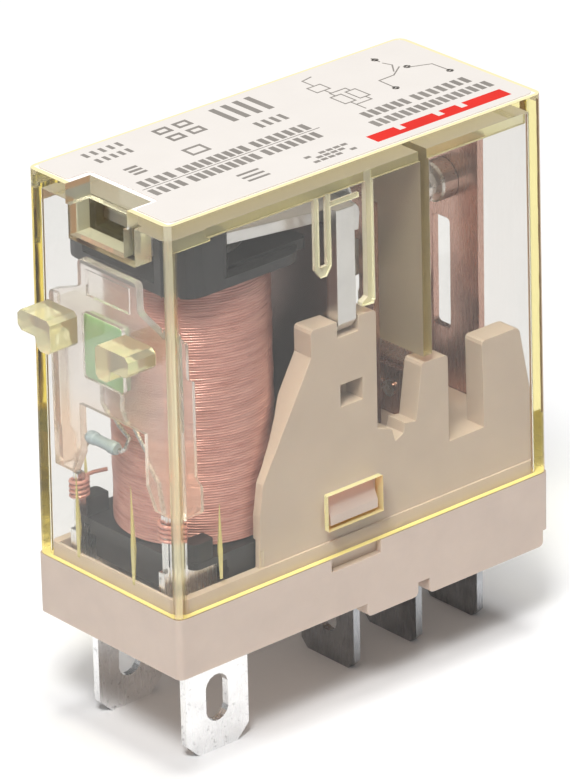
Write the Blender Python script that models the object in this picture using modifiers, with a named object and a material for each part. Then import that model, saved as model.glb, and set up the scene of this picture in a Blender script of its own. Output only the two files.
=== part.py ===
"""A plug-in power relay with one changeover contact, in a clear clip-on cover.

+X runs along the length towards the contact blades, +Z points up and the origin is in the middle of
the base's underside. The design is in millimetres and `MM` turns it into Blender's metres.
"""

import math

import bmesh
import bpy
from mathutils import Matrix, Vector

MM = 0.001

# Case
LENGTH = 29.0
WIDTH = 12.7
BASE_TOP = 3.8
CASE_TOP = 28.1
BASE_CORNER = 0.4
COVER_CORNER = 0.6
WALL = 0.7
ROOF = 1.15
DRAFT = 0.18
SEAT_GAP = 0.05
FIT = 0.08
LABEL_THICKNESS = 0.08

# Base
RIM_TOP = 4.7
TRAY_FLOOR = 3.4
TOWER_WALL = 1.6
TOWER_SETBACK = 0.13
TERMINAL_BLOCK_TOP = 8.0
TERMINAL_BLOCK_SIDE = 4.85

# Blades
BLADE_THICKNESS = 0.5
BLADE_WIDTH = 4.75
BLADE_TIP = -6.75
COIL_BLADE_CHAMFER = 0.9
CONTACT_BLADE_CHAMFER = 0.55
CONTACT_BLADES_X = (2.5, 7.5, 12.5)
COIL_BLADE_X = -10.0
COIL_BLADE_Y = 3.95
EYE_WIDTH = 1.7
EYE_LENGTH = 3.0
EYE_CENTRE_Z = -3.4
POST_X = (-13.0, -12.45)
POST_TOP = 9.3
SHOULDER_TOP = 5.8

# Coil
COIL_X = -7.7
WINDING_RADIUS = 4.6
BARREL_RADIUS = 2.4
BORE_RADIUS = 1.8
CORE_RADIUS = 1.7
POLE_RADIUS = 2.9
LOWER_FLANGE = (5.35, 6.3)
FLANGE_SIDE = 4.95
UPPER_FLANGE = (22.75, 23.35)
DECK_TOP = 23.6
POLE_TOP = 23.95

# Yoke and armature
YOKE_BACK = -0.1
YOKE_THICKNESS = 1.4
YOKE_SHELF = 23.95
ARMATURE_THICKNESS = 0.75
ARMATURE_TILT = 5.8
HINGE = (YOKE_BACK, 0.0, YOKE_SHELF)

# Contacts
CONTACT_Y = 0.5
CONTACT_Z = 21.5
CARD_Z = (18.0, 19.2)
CARD_END = 9.47
LEAF_THICKNESS = 0.2
LEAF_X = 9.75
LEAF_WIDTH = 2.4
LEAF_ROOT = (7.9, 0.0, 9.6)
RIVET_OFFSETS = (-0.55, 0.55)
CONTACT_GAP = 0.45

# Indicator
CARRIER_X = (-13.35, -12.85)
LAMP_Y = (-1.1, 2.3)
LAMP_Z = (16.1, 20.1)
LEAD_X = -12.65
LEAD_RADIUS = 0.14
RESISTOR_CENTRE = (-13.05, 1.2, 12.2)

ROUND_STEPS = 40


# Building blocks ------------------------------------------------------------------------------------


def clear_scene():
    for obj in list(bpy.data.objects):
        bpy.data.objects.remove(obj, do_unlink=True)


def new_collection(name):
    made = bpy.data.collections.new(name)
    bpy.context.scene.collection.children.link(made)
    return made


def material(name, colour, roughness, metallic=0.0, alpha=1.0):
    made = bpy.data.materials.new(name)
    made.use_nodes = True
    shader = made.node_tree.nodes["Principled BSDF"]
    shader.inputs["Base Color"].default_value = (*colour, 1.0)
    shader.inputs["Roughness"].default_value = roughness
    shader.inputs["Metallic"].default_value = metallic
    shader.inputs["Alpha"].default_value = alpha
    made.diffuse_color = (*colour, alpha)
    return made


def add_part(name, mesh, surface):
    """A sub-part of the relay, with its material."""
    part = bpy.data.objects.new(name, mesh)
    PARTS.objects.link(part)
    part.data.materials.clear()
    part.data.materials.append(surface)
    return part


def add_helper(name, mesh):
    """A shape that only joins or cuts another one."""
    helper = bpy.data.objects.new(name, mesh)
    CUTTERS.objects.link(helper)
    helper.hide_render = True
    helper.display_type = "WIRE"
    return helper


def boolean(target, operation, helper):
    step = target.modifiers.new(f"{operation.lower()}_{helper.name}", "BOOLEAN")
    step.operation = operation
    step.object = helper
    step.solver = "EXACT"


def join(target, *meshes):
    for number, mesh in enumerate(meshes):
        boolean(target, "UNION", add_helper(f"{target.name}_more_{number}", mesh))


def cut(target, *meshes):
    for number, mesh in enumerate(meshes):
        boolean(target, "DIFFERENCE", add_helper(f"{target.name}_cut_{number}", mesh))


def finished(shape, name):
    bmesh.ops.recalc_face_normals(shape, faces=shape.faces)
    mesh = bpy.data.meshes.new(name)
    shape.to_mesh(mesh)
    shape.free()
    return mesh


def box(low, high, radius=0.0, along="z", segments=3):
    """A block between two corners, its edges along one axis rounded."""
    low = Vector(low) * MM
    high = Vector(high) * MM
    shape = bmesh.new()
    bmesh.ops.create_cube(shape, size=1.0)
    bmesh.ops.scale(shape, vec=high - low, verts=shape.verts)
    bmesh.ops.translate(shape, vec=(high + low) / 2, verts=shape.verts)
    if radius:
        index = "xyz".index(along)
        others = [i for i in range(3) if i != index]
        edges = []
        for edge in shape.edges:
            span = edge.verts[1].co - edge.verts[0].co
            if all(abs(span[i]) < 1e-9 for i in others):
                edges.append(edge)
        bmesh.ops.bevel(shape, geom=edges, offset=radius * MM, segments=segments, affect="EDGES", profile=0.5)
    return finished(shape, "box")


def rod(start, end, radius, segments=ROUND_STEPS):
    """A cylinder between two points."""
    start = Vector(start) * MM
    end = Vector(end) * MM
    shape = bmesh.new()
    bmesh.ops.create_cone(
        shape,
        cap_ends=True,
        segments=segments,
        radius1=radius * MM,
        radius2=radius * MM,
        depth=(end - start).length,
    )
    turn = Vector((0, 0, 1)).rotation_difference(end - start).to_matrix().to_4x4()
    shape.transform(Matrix.Translation((start + end) / 2) @ turn)
    return finished(shape, "rod")


def turned(name, profile, surface, centre, axis="z", closed=False, steps=ROUND_STEPS):
    """A round part: a profile of (radius, height) run down its outer side and turned about its axis."""
    shape = bmesh.new()
    points = [shape.verts.new((radius * MM, 0.0, height * MM)) for radius, height in profile]
    for first, second in zip(points, points[1:]):
        shape.edges.new((first, second))
    if closed:
        shape.edges.new((points[-1], points[0]))
    mesh = bpy.data.meshes.new(name)
    shape.to_mesh(mesh)
    shape.free()
    part = add_part(name, mesh, surface)
    part.location = Vector(centre) * MM
    part.rotation_euler = {"z": (0, 0, 0), "x": (0, math.pi / 2, 0), "y": (-math.pi / 2, 0, 0)}[axis]
    step = part.modifiers.new("turn", "SCREW")
    step.steps = steps
    step.render_steps = steps
    step.use_merge_vertices = True
    step.merge_threshold = 1e-6
    step.use_smooth_shade = True
    return part


def rounded(corners, steps=3):
    """An outline whose corners are (u, v) or, with a round corner, (u, v, radius)."""
    points = []
    count = len(corners)
    for index, corner in enumerate(corners):
        here = Vector(corner[:2])
        if len(corner) == 2:
            points.append(here)
            continue
        before = (Vector(corners[index - 1][:2]) - here).normalized()
        after = (Vector(corners[(index + 1) % count][:2]) - here).normalized()
        half = before.angle(after) / 2
        centre = here + (before + after).normalized() * corner[2] / math.sin(half)
        start = here + before * corner[2] / math.tan(half) - centre
        sweep = start.angle_signed(here + after * corner[2] / math.tan(half) - centre)
        for step in range(steps + 1):
            points.append(centre + Matrix.Rotation(-sweep * step / steps, 2) @ start)
    return points


def plate(outline, low, high, normal="y", hole=None):
    """A flat blank between two planes: its outline is (x, z) across y, (y, z) across x or (x, y) across z."""
    curve = bpy.data.curves.new("blank", "CURVE")
    curve.dimensions = "2D"
    curve.fill_mode = "BOTH"
    curve.extrude = (high - low) / 2 * MM
    for loop in (outline, hole):
        if loop is None:
            continue
        spline = curve.splines.new("POLY")
        spline.points.add(len(loop) - 1)
        for point, (u, v) in zip(spline.points, loop):
            point.co = (u * MM, v * MM, 0.0, 1.0)
        spline.use_cyclic_u = True
    guide = bpy.data.objects.new("blank", curve)
    CUTTERS.objects.link(guide)
    guide.rotation_euler = {
        "x": (math.pi / 2, 0, math.pi / 2),
        "y": (math.pi / 2, 0, 0),
        "z": (0, 0, 0),
    }[normal]
    guide.location["xyz".index(normal)] = (high + low) / 2 * MM
    bpy.context.view_layer.update()
    graph = bpy.context.evaluated_depsgraph_get()
    mesh = bpy.data.meshes.new_from_object(guide.evaluated_get(graph))
    mesh.transform(guide.matrix_world)
    bpy.data.objects.remove(guide)
    bpy.data.curves.remove(curve)
    shape = bmesh.new()
    shape.from_mesh(mesh)
    bmesh.ops.remove_doubles(shape, verts=shape.verts, dist=1e-7)
    bpy.data.meshes.remove(mesh)
    return finished(shape, "plate")


def mirrored(meshes):
    """The same shapes on both sides of the middle plane y = 0."""
    both = []
    for mesh in meshes:
        copy = mesh.copy()
        copy.transform(Matrix.Scale(-1, 4, (0, 1, 0)))
        copy.flip_normals()
        both += [mesh, copy]
    return both


def strip(route, thickness):
    """The outline of a bent strip seen edge on: its centre line, thickened with mitred bends."""
    points = [Vector(point) for point in route]
    left = []
    right = []
    for index, point in enumerate(points):
        into = (point - points[index - 1]).normalized() if index else None
        out = (points[index + 1] - point).normalized() if index + 1 < len(points) else None
        along = (into or out) + (out or into)
        side = Vector((-along.y, along.x)).normalized()
        straight = into or out
        reach = thickness / 2 / side.dot(Vector((-straight.y, straight.x)))
        left.append(point + side * reach)
        right.append(point - side * reach)
    return left + right[::-1]


def moved_origin(part, origin):
    """Puts a part's origin on its joint's axis without moving its shape."""
    shift = Vector(origin) * MM
    part.data.transform(Matrix.Translation(-shift))
    part.location = shift
    for step in part.modifiers:
        if step.type == "BOOLEAN":
            step.object.parent = part
            step.object.matrix_parent_inverse = Matrix.Translation(-shift)


def wire(name, route, radius, surface):
    curve = bpy.data.curves.new(name, "CURVE")
    curve.dimensions = "3D"
    curve.bevel_depth = radius * MM
    curve.bevel_resolution = 2
    curve.use_fill_caps = True
    spline = curve.splines.new("POLY")
    spline.points.add(len(route) - 1)
    for point, place in zip(spline.points, route):
        point.co = (*(Vector(place) * MM), 1.0)
    return add_part(name, curve, surface)


# Case -----------------------------------------------------------------------------------------------


def tower_outline():
    """The side wall of the base, (x, z): it holds the yoke, dips at two wells and ends at the rear."""
    return [
        (-7.9, 3.0),
        (-7.75, 8.0),
        (-7.45, 9.9),
        (-3.6, 16.7),
        (-3.6, 18.4, 0.25),
        (1.4, 18.2, 0.25),
        (1.4, 10.65),
        (2.5, 10.25),
        (2.75, 9.4),
        (3.4, 9.7),
        (3.55, 10.3),
        (4.4, 10.15),
        (4.9, 13.7, 0.25),
        (6.95, 13.6, 0.25),
        (7.0, 8.0),
        (9.8, 8.0),
        (9.65, 13.6, 0.25),
        (12.65, 13.6, 0.4),
        (13.68, 8.5),
        (13.68, 3.0),
    ]


def blade_slots():
    """The slots that the five blades stand in."""
    side = BLADE_WIDTH / 2 + 0.05
    half_slot = BLADE_THICKNESS / 2 + 0.05
    slots = [box((at - half_slot, -side, -2.0), (at + half_slot, side, 10.0)) for at in CONTACT_BLADES_X]
    coil_slot = box(
        (COIL_BLADE_X - side, -COIL_BLADE_Y - half_slot, -2.0),
        (COIL_BLADE_X + side, -COIL_BLADE_Y + half_slot, 5.0),
    )
    return slots + mirrored([coil_slot])


def make_base(surface):
    """The moulding that carries every terminal: skirt, rim, towers, terminal block, nubs and keying lugs."""
    x = LENGTH / 2
    y = WIDTH / 2
    rim_x = x - WALL - FIT
    rim_y = y - WALL - FIT
    tray_y = rim_y - 0.55
    tower_y = rim_y - TOWER_WALL
    base = add_part("base", box((-x, -y, 0), (x, y, BASE_TOP), BASE_CORNER, segments=5), surface)
    join(base, box((-rim_x, -rim_y, 3.0), (rim_x, rim_y, RIM_TOP), 0.4))
    cut(base, box((1 - x, -tray_y, TRAY_FLOOR), (x - 1, tray_y, 6.0)))
    towers = mirrored([plate(rounded(tower_outline(), 2), -rim_y + TOWER_SETBACK, -tower_y)])
    block = box(
        (1.7, -TERMINAL_BLOCK_SIDE, 3.0),
        (rim_x - 0.3, TERMINAL_BLOCK_SIDE, TERMINAL_BLOCK_TOP),
    )
    nub = [(-rim_y + 0.3, 5.85), (-y + 0.2, 5.85), (-y + 0.2, 6.4), (-rim_y, 7.6), (-rim_y + 0.3, 7.6)]
    lugs = [
        box((-0.1, -y, -0.87), (3.9, -y + 1.3, 0.5), 0.3, "y"),
        box((4.8, -y, -1.0), (14.0, -y + 1.3, 0.5), 0.3, "y"),
    ]
    join(base, *towers, block, *mirrored([plate(nub, -2.7, 1.0, "x")]), *mirrored(lugs))
    grooves = [
        box((-1.6, -y, 17.3), (0.05, -tower_y + 0.5, 20.0)),
        box((-1.42, -y, 12.9), (0.3, -tower_y + 0.5, 14.3)),
        box((-2.85, -y - 0.5, 2.95), (1.0, -y + 0.45, 4.0)),
    ]
    coil_room = rod((COIL_X, 0, TRAY_FLOOR), (COIL_X, 0, CASE_TOP), WINDING_RADIUS + 0.25)
    flange_room = box(
        (-12.6, -FLANGE_SIDE - 0.1, LOWER_FLANGE[0] - 1.1),
        (-2.8, FLANGE_SIDE + 0.1, LOWER_FLANGE[1] + 0.15),
    )
    cut(base, *mirrored(grooves), *blade_slots(), coil_room, flange_room)
    return base


def drafted_box(half_x, half_y, low, high, inset, radius):
    """A rounded box whose walls lean in by `inset` at the top."""
    mesh = box((-half_x, -half_y, low), (half_x, half_y, high), radius, segments=4)
    top = (low + high) / 2 * MM
    for vertex in mesh.vertices:
        if vertex.co.z > top:
            vertex.co.x *= 1 - inset / half_x
            vertex.co.y *= 1 - inset / half_y
    return mesh


def make_cover(surface):
    """The clear cover: a drafted shell with its roof, inner ribs, side windows, front pocket and two pegs."""
    x = LENGTH / 2
    y = WIDTH / 2
    low = BASE_TOP + SEAT_GAP
    inner_top = CASE_TOP - ROOF
    inner_x = x - WALL
    inner_y = y - WALL
    rib_low = -inner_y - 0.3
    cover = add_part("cover", drafted_box(x, y, low, CASE_TOP, DRAFT, COVER_CORNER), surface)
    cut(cover, drafted_box(inner_x, inner_y, low - 1.0, inner_top, DRAFT, 0.4))
    peg_shape = [
        (-4.9, 19.4),
        (-4.9, 20.1),
        (-4.6, 20.4),
        (-2.25, 20.4),
        (-2.0, 20.15),
        (-2.0, 18.55),
        (-2.25, 18.3),
        (-2.95, 18.3),
        (-3.2, 18.5),
        (-3.4, 19.1),
        (-4.6, 19.1),
    ]
    peg = plate(peg_shape, -x - 1.9, -x + 0.3, "x")
    bend = [(-3.2, 22.1), (-3.2, 22.0), (-2.8, 21.45), (-2.35, 21.45), (-1.95, 22.0), (-1.95, 22.1)]
    foot = [(0.3, 18.75), (0.3, 18.95), (0.85, 19.3), (1.2, 19.3), (1.2, 18.7)]
    ribs = [
        box((-3.2, rib_low, 22.0), (-2.85, -5.25, inner_top + 0.2)),
        box((-2.3, rib_low, 22.0), (-1.95, -5.25, inner_top + 0.2)),
        plate(bend, rib_low, -5.25),
        box((-2.1, rib_low, 25.6), (0.2, -5.3, 25.9)),
        box((0.75, rib_low, 18.9), (1.3, -5.1, inner_top + 0.2)),
        plate(foot, rib_low, -5.1),
        box((-7.95, rib_low, 4.85), (-7.7, -5.59, 5.9)),
    ]
    partition = box((4.95, rib_low, 14.1), (5.6, -1.2, inner_top + 0.3), 0.6, "x")
    corner = box((-inner_x - 0.3, rib_low, 26.2), (-10.9, -5.3, inner_top + 0.3))
    ledge = box((-11.1, rib_low, 26.4), (inner_x - 0.6, -5.15, inner_top + 0.25))
    pocket = box((-x + 0.3, -2.9, 24.6), (-12.4, 2.9, CASE_TOP - 0.3))
    join(cover, *mirrored([peg, *ribs, corner, ledge]), partition, pocket)
    window = box((-2.98, -y - 0.5, 5.6), (1.26, -inner_y + 0.2, 7.88))
    cut(
        cover,
        box((-x - 0.5, -2.35, 25.1), (-12.9, 2.35, CASE_TOP - 0.6)),
        box((-x - 0.5, -2.7, 26.9), (-12.5, 2.7, CASE_TOP + 0.5)),
        *mirrored([window]),
    )
    return cover


def make_label(surface):
    x = LENGTH / 2 - 0.55
    y = WIDTH / 2 - 0.5
    outline = [
        (-x, -y, 0.5),
        (x, -y, 0.5),
        (x, y, 0.5),
        (-x, y, 0.5),
        (-x, 3.0, 0.2),
        (-12.2, 3.0, 0.3),
        (-12.2, -3.0, 0.3),
        (-x, -3.0, 0.2),
    ]
    bottom = CASE_TOP + 0.02
    return add_part("top_label", plate(rounded(outline), bottom, bottom + LABEL_THICKNESS, "z"), surface)


# Coil -----------------------------------------------------------------------------------------------


def make_bobbin(surface):
    """Two flanges on a barrel, blocks at the front corners, a skirt in the tray and a bore for the core."""
    low, high = LOWER_FLANGE
    lip_low, lip_high = UPPER_FLANGE
    side = FLANGE_SIDE
    lip = [
        (-12.5, -5.1, 1.3),
        (-4.2, -5.1, 1.6),
        (-2.6, -3.2, 0.4),
        (-2.6, 3.2, 0.4),
        (-4.2, 5.1, 1.6),
        (-12.5, 5.1, 1.3),
    ]
    foot = [(-12.35, -side, 0.5), (-3.0, -side, 0.5), (-3.0, side, 0.5), (-12.35, side, 0.5)]
    upper_block = [(-12.5, -5.1, 1.3), (-9.0, -5.1, 0.7), (-9.0, -3.15), (-12.5, -3.15)]
    lower_block = [
        (-12.3, 0.05 - side, 0.5),
        (-10.7, 0.05 - side, 0.3),
        (-10.7, -3.8),
        (-12.3, -3.8),
    ]
    bobbin = add_part("bobbin", plate(rounded(lip, 4), lip_low, lip_high, "z"), surface)
    join(
        bobbin,
        rod((COIL_X, 0, low + 0.2), (COIL_X, 0, lip_high - 0.2), BARREL_RADIUS),
        plate(rounded(foot, 4), low, high, "z"),
        box((-12.25, -3.2, 4.0), (-10.9, 3.2, high - 0.2)),
        box((-9.3, -4.2, lip_low + 0.2), (-2.6, 4.2, DECK_TOP), 0.4),
        *mirrored(
            [
                plate(rounded(upper_block, 4), lip_low + 0.1, 26.1, "z"),
                plate(rounded(lower_block, 4), low + 0.2, 7.45, "z"),
                box((-9.7, 0.1 - side, 4.4), (-3.2, -3.85, high - 0.3)),
            ]
        ),
    )
    tab_room = box((-13.0, -side - 0.3, 4.9), (COIL_BLADE_X + 0.1, -3.62, SHOULDER_TOP + 0.07))
    cut(bobbin, rod((COIL_X, 0, 0), (COIL_X, 0, CASE_TOP), BORE_RADIUS), *mirrored([tab_room]))
    return bobbin


def make_winding(surface):
    low = LOWER_FLANGE[1] + 0.05
    high = UPPER_FLANGE[0] - 0.05
    inner = BARREL_RADIUS + 0.08
    profile = [(WINDING_RADIUS, high), (WINDING_RADIUS, low), (inner, low), (inner, high)]
    return turned("coil_winding", profile, surface, (COIL_X, 0, 0), closed=True, steps=56)


def make_core(surface):
    """The soft iron core: a pin with a wide pole face, seated in the yoke's foot."""
    profile = [
        (0, POLE_TOP),
        (POLE_RADIUS - 0.1, POLE_TOP),
        (POLE_RADIUS, POLE_TOP - 0.1),
        (POLE_RADIUS, DECK_TOP + 0.05),
        (CORE_RADIUS, DECK_TOP + 0.05),
        (CORE_RADIUS, 4.0),
        (0, 4.0),
    ]
    return turned("core", profile, surface, (COIL_X, 0, 0))


def make_yoke(surface):
    """The iron frame: a foot under the coil, a leg behind it, and two ears that keep the armature there."""
    front = YOKE_BACK - YOKE_THICKNESS
    leg = [
        (-3.7, 3.9),
        (3.7, 3.9),
        (3.7, 17.5),
        (5.0, 17.5),
        (5.45, 18.1),
        (5.45, 25.2),
        (4.5, 25.2),
        (4.5, YOKE_SHELF),
        (-4.5, YOKE_SHELF),
        (-4.5, 25.2),
        (-5.45, 25.2),
        (-5.45, 18.1),
        (-5.0, 17.5),
        (-3.7, 17.5),
    ]
    yoke = add_part("yoke", plate(leg, front, YOKE_BACK, "x"), surface)
    join(yoke, box((-10.7, -3.5, 3.9), (front + 0.3, 3.5, 5.25), 0.8))
    cut(yoke, rod((COIL_X, 0, 3.0), (COIL_X, 0, 6.0), CORE_RADIUS + 0.05))
    return yoke


def make_coil_terminal(name, side, surface):
    """A coil blade: chamfered tip and eye below the base, and a shoulder with a soldering post above it."""
    low = COIL_BLADE_X - BLADE_WIDTH / 2
    high = COIL_BLADE_X + BLADE_WIDTH / 2
    front, back = POST_X
    outline = [
        (low, BLADE_TIP + COIL_BLADE_CHAMFER),
        (low + COIL_BLADE_CHAMFER, BLADE_TIP),
        (high - COIL_BLADE_CHAMFER, BLADE_TIP),
        (high, BLADE_TIP + COIL_BLADE_CHAMFER),
        (high, TRAY_FLOOR + 0.05),
        (COIL_BLADE_X, TRAY_FLOOR + 0.05),
        (COIL_BLADE_X, SHOULDER_TOP),
        (back, SHOULDER_TOP),
        (back, POST_TOP),
        (front, POST_TOP),
        (front, SHOULDER_TOP),
        (front - 0.3, SHOULDER_TOP),
        (front - 0.3, TRAY_FLOOR + 0.4),
        (front, TRAY_FLOOR + 0.1),
        (low, TRAY_FLOOR + 0.1),
    ]
    middle = COIL_BLADE_Y * side
    blank = plate(outline, middle - BLADE_THICKNESS / 2, middle + BLADE_THICKNESS / 2, "y", eye(COIL_BLADE_X))
    return add_part(name, blank, surface)


def eye(middle):
    """The oval eye of a blade, for a soldered lead."""
    radius = EYE_WIDTH / 2
    reach = EYE_LENGTH / 2 - radius
    points = []
    for step in range(16):
        angle = math.tau * (step + 0.5) / 16
        rise = math.copysign(reach, math.sin(angle))
        points.append((middle + radius * math.cos(angle), EYE_CENTRE_Z + rise + radius * math.sin(angle)))
    return points


def make_coil_lead(name, side, surface):
    """The end of the winding: four turns round the terminal's post, then over to the coil."""
    post = Vector((sum(POST_X) / 2, COIL_BLADE_Y * side, 0))
    radius = 0.52
    turns = 4
    steps = 12
    route = []
    for step in range(turns * steps + 1):
        angle = math.tau * step / steps
        height = 7.72 + 0.3 * step / steps
        route.append(post + Vector((radius * math.cos(angle), radius * math.sin(angle) * side, height)))
    route.append(Vector((-11.7, (COIL_BLADE_Y - 0.1) * side, 9.0)))
    route.append(Vector((-11.0, 3.45 * side, 9.1)))
    return wire(name, route, 0.12, surface)


# Magnet and contacts --------------------------------------------------------------------------------


def make_armature(surface):
    """The rocking iron: a plate over the pole and a leg behind the yoke. At rest it stands open."""
    underside = YOKE_SHELF + 0.05
    top = underside + ARMATURE_THICKNESS
    heel_x = 1.4
    leg_x = heel_x - ARMATURE_THICKNESS
    outline = [
        (-11.3, underside),
        (leg_x, underside),
        (leg_x, 17.8),
        (heel_x, 17.8),
        (heel_x, top, 0.7),
        (-11.3, top, 0.2),
    ]
    armature = add_part("armature", plate(rounded(outline), -4.2, 4.2), surface)
    cut(
        armature,
        *mirrored(
            [
                box((-12.0, -5.0, 20.0), (-8.8, -2.85, 27.0)),
                box((0.1, -5.0, 17.0), (2.0, -3.0, 23.0)),
            ]
        ),
    )
    moved_origin(armature, HINGE)
    armature.rotation_euler = (0, math.radians(ARMATURE_TILT), 0)
    return armature


def make_hinge_spring(surface):
    """A leaf on the back of the yoke, curled over the armature's heel."""
    route = [(0.02, 12.6), (0.02, 16.4), (1.5, 17.1), (2.15, 18.6), (2.15, 24.4), (1.7, 25.5), (0.9, 25.75)]
    spring = add_part("hinge_spring", plate(strip(route, 0.12), -2.6, 2.6), surface)
    cut(spring, box((0.5, CONTACT_Y - 1.6, 16.9), (3.0, CONTACT_Y + 1.6, 20.4)))
    return spring


def make_card(surface):
    """The pusher that carries the armature's stroke to the moving contact spring."""
    low, high = CARD_Z
    body = box((0.95, CONTACT_Y - 1.3, low), (CARD_END, CONTACT_Y + 1.3, high), 0.2, "x")
    card = add_part("actuator_card", body, surface)
    cut(card, box((1.9, CONTACT_Y - 1.35, low - 0.5), (2.5, CONTACT_Y + 1.35, low + 0.7)))
    moved_origin(card, (0.95, CONTACT_Y, (low + high) / 2))
    return card


def leaf_route():
    """The middle line of the leaf, (x, z): its foot, a slant and the long blade with the contact."""
    middle = LEAF_X + LEAF_THICKNESS / 2
    return [(7.9, 8.7), (7.9, 11.2), (middle, 13.8), (middle, 23.0)]


def rivet_holes():
    """The holes for the two rivets, through the common terminal and the leaf's foot."""
    holes = []
    for offset in RIVET_OFFSETS:
        y = CONTACT_Y + offset
        z = LEAF_ROOT[2]
        holes.append(rod((7.0, y, z), (8.5, y, z), 0.34, 20))
    return holes


def make_moving_spring(surface):
    """The leaf that carries the moving contact, riveted to the common terminal."""
    low = CONTACT_Y - LEAF_WIDTH / 2
    high = CONTACT_Y + LEAF_WIDTH / 2
    leaf = add_part("moving_spring", plate(strip(leaf_route(), LEAF_THICKNESS), low, high), surface)
    eye_hole = rod((LEAF_X - 1, CONTACT_Y, CONTACT_Z), (LEAF_X + 1, CONTACT_Y, CONTACT_Z), 0.5, 20)
    cut(leaf, eye_hole, *rivet_holes())
    moved_origin(leaf, LEAF_ROOT)
    return leaf


def contact_button(name, back, face, radius, surface):
    """A fixed contact: a domed head on the side of `face` and a shank riveted through the plate."""
    sign = 1 if face > back else -1
    reach = abs(face - back)
    profile = [
        (0, reach),
        (radius * 0.6, reach - 0.03),
        (radius * 0.9, reach - 0.12),
        (radius, reach - 0.25),
        (radius, 0.0),
        (0.42, 0.0),
        (0.42, -0.5),
        (0, -0.5),
    ]
    button = turned(name, profile, surface, (back, CONTACT_Y, CONTACT_Z), "x", steps=28)
    if sign < 0:
        button.rotation_euler = (0, -math.pi / 2, 0)
    return button


def make_moving_contact(surface):
    """The two-sided button in the leaf."""
    thickness = LEAF_THICKNESS
    profile = [
        (0, 0.55 + thickness / 2),
        (0.75, 0.52 + thickness / 2),
        (1.15, 0.3 + thickness / 2),
        (1.15, thickness / 2 + 0.03),
        (0.45, thickness / 2 + 0.03),
        (0.45, -thickness / 2 - 0.03),
        (1.15, -thickness / 2 - 0.03),
        (1.15, -0.25 - thickness / 2),
        (0.75, -0.42 - thickness / 2),
        (0, -0.45 - thickness / 2),
    ]
    return turned("moving_contact", profile, surface, (LEAF_X + 0.1, CONTACT_Y, CONTACT_Z), "x", steps=28)


def contact_blade_outline(top):
    side = BLADE_WIDTH / 2
    return [
        (-side, BLADE_TIP + CONTACT_BLADE_CHAMFER),
        (-side + CONTACT_BLADE_CHAMFER, BLADE_TIP),
        (side - CONTACT_BLADE_CHAMFER, BLADE_TIP),
        (side, BLADE_TIP + CONTACT_BLADE_CHAMFER),
        (side, top),
        (-side, top),
    ]


def contact_blade(at, top):
    low = at - BLADE_THICKNESS / 2
    return plate(contact_blade_outline(top), low, low + BLADE_THICKNESS, "x", eye(0.0))


def make_nc_terminal(surface):
    """The normally closed terminal: it steps back, rises beside the card and reaches over it."""
    at = CONTACT_BLADES_X[0]
    near = -BLADE_WIDTH / 2
    arm_low = CONTACT_Y - 1.4
    arm_high = CONTACT_Y + 1.4
    terminal = add_part("normally_closed_terminal", contact_blade(at, 9.3), surface)
    join(
        terminal,
        box((at - 0.25, near, 9.0), (4.4, -near, 9.5)),
        box((3.95, near, 9.1), (4.4, arm_low - 0.25, 23.05)),
        box((3.95, near, 20.5), (4.4, arm_high, 23.05)),
        box((4.1, arm_low, 22.6), (8.6, arm_high, 23.05)),
        box((8.2, arm_low, 20.0), (8.65, arm_high, 23.05), 0.3, "x"),
    )
    cut(terminal, rod((8.0, CONTACT_Y, CONTACT_Z), (9.0, CONTACT_Y, CONTACT_Z), 0.5, 20))
    return terminal


def make_common_terminal(surface):
    at = CONTACT_BLADES_X[1]
    terminal = add_part("common_terminal", contact_blade(at, 11.0), surface)
    cut(terminal, *rivet_holes())
    return terminal


def make_no_terminal(surface):
    """The normally open terminal: a tall plate behind the moving contact, with a window in it."""
    at = CONTACT_BLADES_X[2]
    terminal = add_part("normally_open_terminal", contact_blade(at, 25.0), surface)
    cut(
        terminal,
        box((at - 1, 0.1, 11.8), (at + 1, 1.6, 18.9), 0.25, "x"),
        rod((at - 1, CONTACT_Y, CONTACT_Z), (at + 1, CONTACT_Y, CONTACT_Z), 0.5, 20),
    )
    return terminal


def make_spring_rivet(name, offset, surface):
    """A rivet that holds the leaf on the common terminal."""
    profile = [
        (0, 0.62),
        (0.35, 0.58),
        (0.52, 0.4),
        (0.52, 0.28),
        (0.28, 0.28),
        (0.28, -0.52),
        (0.5, -0.52),
        (0.5, -0.7),
        (0, -0.75),
    ]
    return turned(name, profile, surface, (7.77, CONTACT_Y + offset, LEAF_ROOT[2]), "x", steps=20)


# Indicator ------------------------------------------------------------------------------------------


def make_indicator_frame(surface):
    """The clear carrier in front of the coil: a face with a window for the lamp and an arm at each side."""
    front, back = CARRIER_X
    face = [
        (-5.3, 9.6),
        (-3.6, 9.6),
        (-2.9, 11.0),
        (-2.9, 14.2),
        (2.9, 14.2),
        (2.9, 11.0),
        (3.6, 9.6),
        (5.3, 9.6),
        (5.3, 20.6, 0.4),
        (2.6, 21.6, 0.4),
        (2.6, 23.4, 0.3),
        (-2.6, 23.4, 0.3),
        (-2.6, 21.6, 0.4),
        (-5.3, 20.6, 0.4),
    ]
    frame = add_part("indicator_frame", plate(rounded(face), front, back, "x"), surface)
    arm = [
        (front + 0.1, 9.6),
        (-11.8, 9.6, 0.2),
        (-11.8, 11.2, 0.2),
        (-12.2, 11.9),
        (-12.2, 17.9),
        (-12.6, 18.1),
        (-12.6, 20.5, 0.2),
        (front + 0.1, 20.5),
    ]
    join(frame, *mirrored([plate(rounded(arm), -5.32, -4.85)]))
    gap = 0.06
    lamp_room = box(
        (front - 1, LAMP_Y[0] - gap, LAMP_Z[0] - gap),
        (back + 0.2, LAMP_Y[1] + gap, LAMP_Z[1] + gap),
        0.2,
        "x",
    )
    recess = box((front - 0.5, -1.9, 21.3), (front + 0.2, 1.9, 22.9))
    cut(frame, lamp_room, recess)
    return frame


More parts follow.
